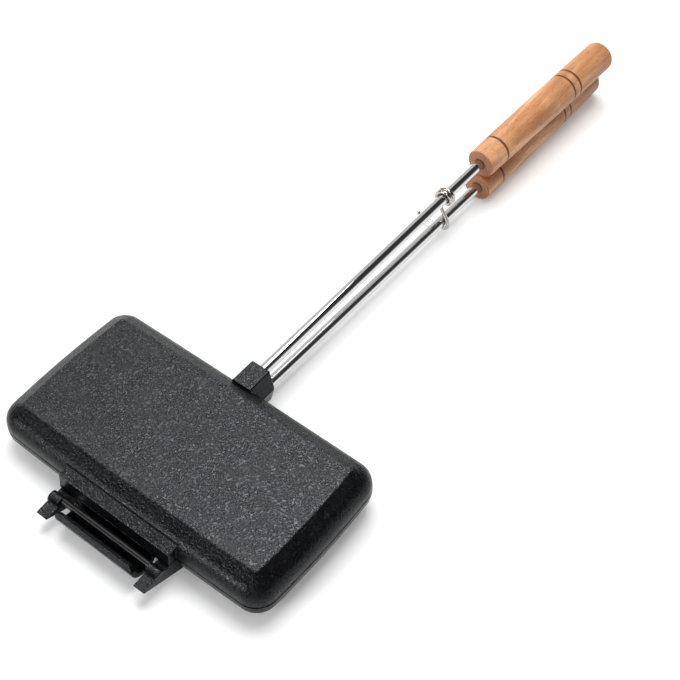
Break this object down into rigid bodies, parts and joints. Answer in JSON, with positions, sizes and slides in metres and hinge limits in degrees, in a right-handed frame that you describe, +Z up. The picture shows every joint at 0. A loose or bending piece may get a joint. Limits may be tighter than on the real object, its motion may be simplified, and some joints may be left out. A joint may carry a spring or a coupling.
{
  "type": "pie iron",
  "caption": "Cast-iron double pie iron: two hinged pans on long steel rods with turned wooden handles, held shut by a bent-wire latch.",
  "frame": {"origin": "on the table under the middle of the closed iron's outline, as it lies on the front edge of the head and the end of the lower handle", "axes": "+Y from the head towards the handles, +X along the head, +Z up from the table"},
  "size_m": [0.2254, 0.58, 0.0526],
  "materials": {
    "cast_iron": "seasoned, satin, with a fine cast texture",
    "rod_steel": "bright nickel-plated steel rod",
    "wood": "oiled beech, turned, with burnt grooves",
    "latch_wire": "bright nickel-plated wire",
    "pin_steel": "plain steel",
    "hinge_steel": "blackened steel"
  },
  "bodies": {
    "lower_half": {"lower_shell": "cast_iron", "hinge_pin": "hinge_steel", "lower_rod": "rod_steel", "lower_rod_pin": "pin_steel", "lower_handle": "wood", "lower_handle_nail": "pin_steel"},
    "upper_half": {"upper_shell": "cast_iron", "upper_rod": "rod_steel", "upper_rod_pin": "pin_steel", "upper_handle": "wood", "upper_handle_nail": "pin_steel"},
    "latch": {"latch": "latch_wire"}
  },
  "joints": [
    {"name": "iron_hinge", "type": "hinge", "parent": "lower_half", "child": "upper_half", "pos_m": [0, -0.27487, 0.01733], "axis": [1, 0, 0], "range_deg": [0, 115]},
    {"name": "latch_swing", "type": "hinge", "parent": "upper_half", "child": "latch", "pos_m": [0.00185, 0.07592, 0.03515], "axis": [-0.0085, -0.9997, -0.0235], "range_deg": [0, 100]}
  ]
}
